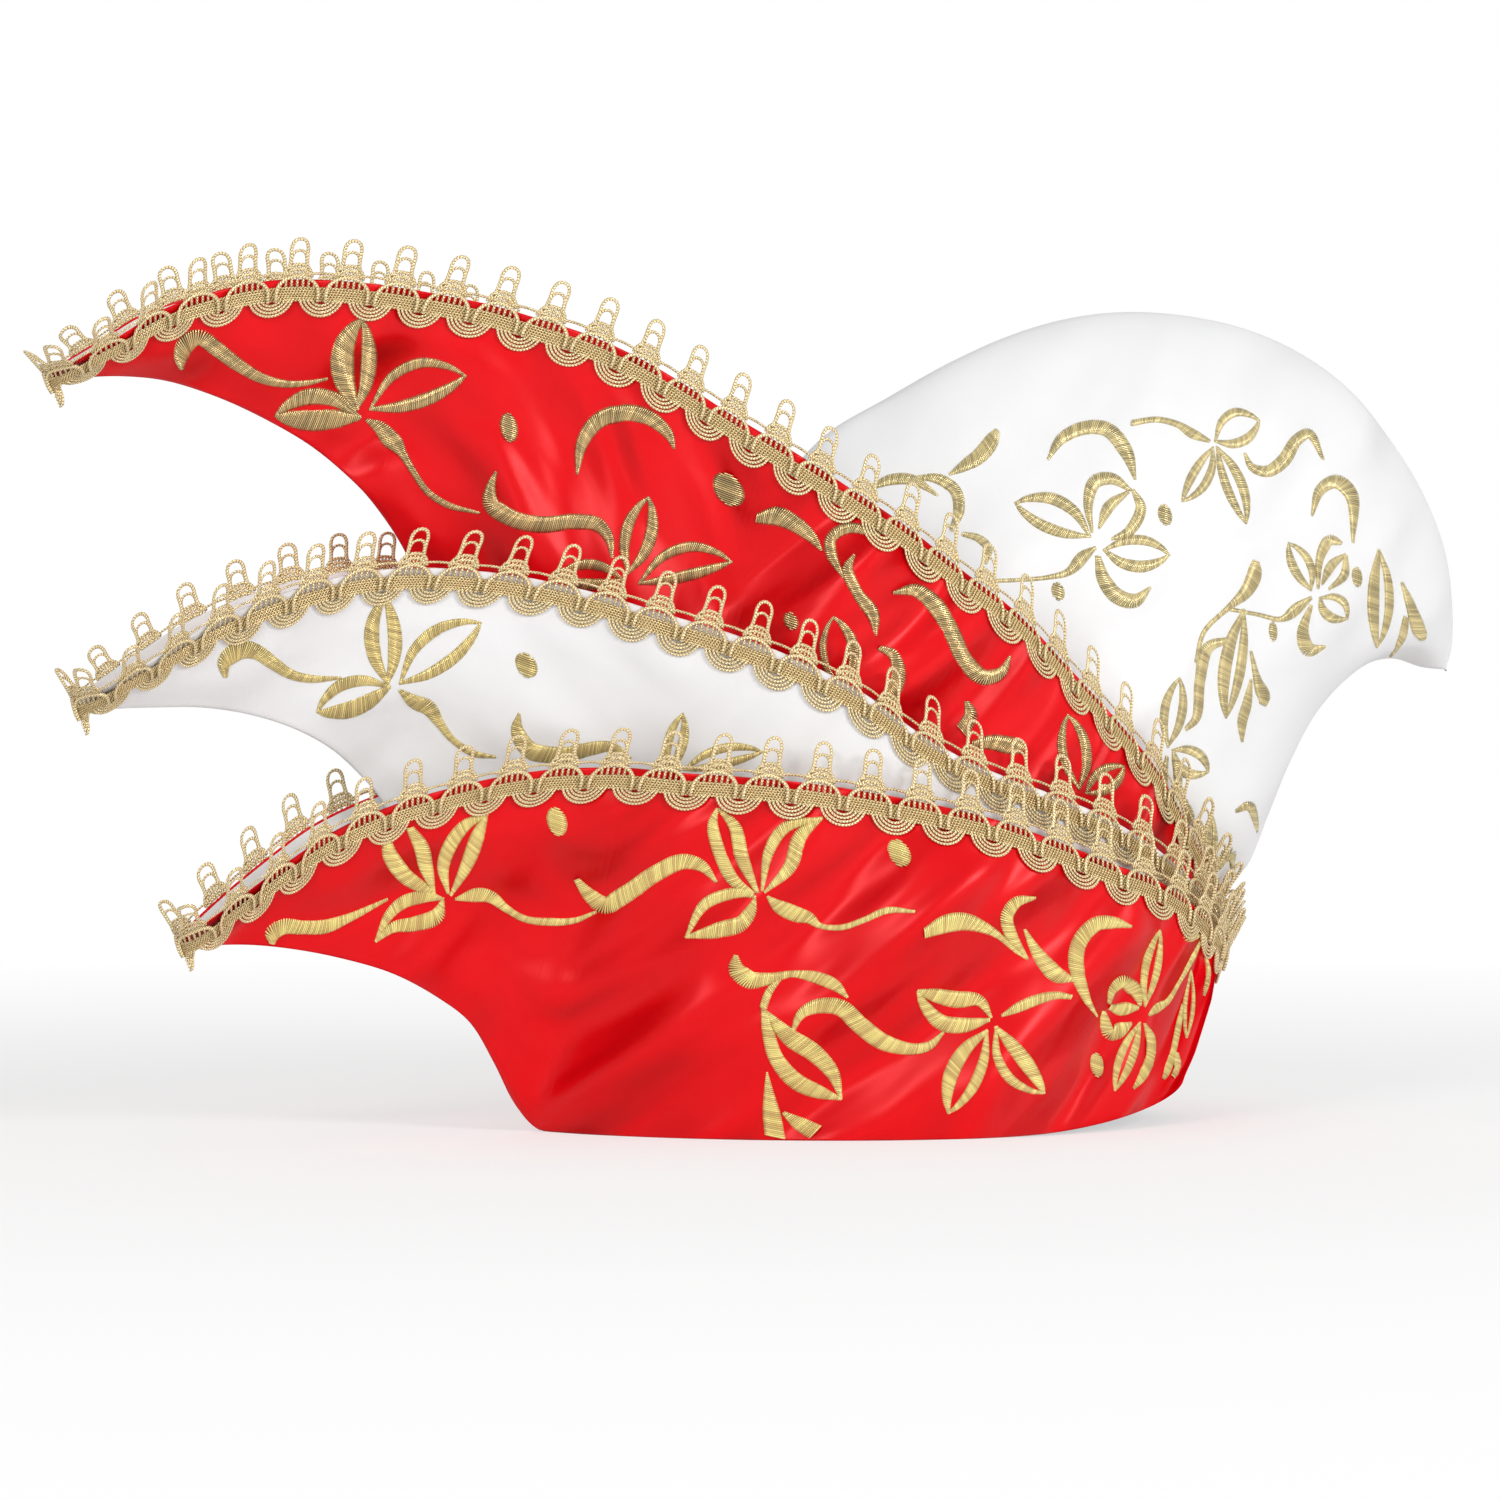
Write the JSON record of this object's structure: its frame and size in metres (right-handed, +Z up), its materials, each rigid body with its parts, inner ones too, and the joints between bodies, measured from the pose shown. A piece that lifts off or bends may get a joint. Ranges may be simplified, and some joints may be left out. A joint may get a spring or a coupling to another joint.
{
  "type": "embroidered cap",
  "caption": "Stiff carnival cap in red and white satin: hollow crown with a hooked tail inside nested boat-shaped brims with pointed beaks, edged with gold loop lace.",
  "frame": {"origin": "middle of the cap's length and width, on the surface that the rim rests on", "axes": "-X towards the beaks (the wearer's front), +X towards the tail, -Y the wearer's left, +Z up"},
  "size_m": [0.4938, 0.1584, 0.2847],
  "materials": {
    "white_satin": "satin",
    "red_satin": "satin",
    "gold_lace": "metallic thread"
  },
  "bodies": {
    "root": {"crown_left": "white_satin", "crown_right": "white_satin", "brim_lower_left": "red_satin", "brim_lower_right": "red_satin", "brim_middle_left": "white_satin", "brim_middle_right": "white_satin", "brim_upper_left": "red_satin", "brim_upper_right": "red_satin", "lace_lower": "gold_lace", "lace_middle": "gold_lace", "lace_upper": "gold_lace"}
  },
  "joints": []
}
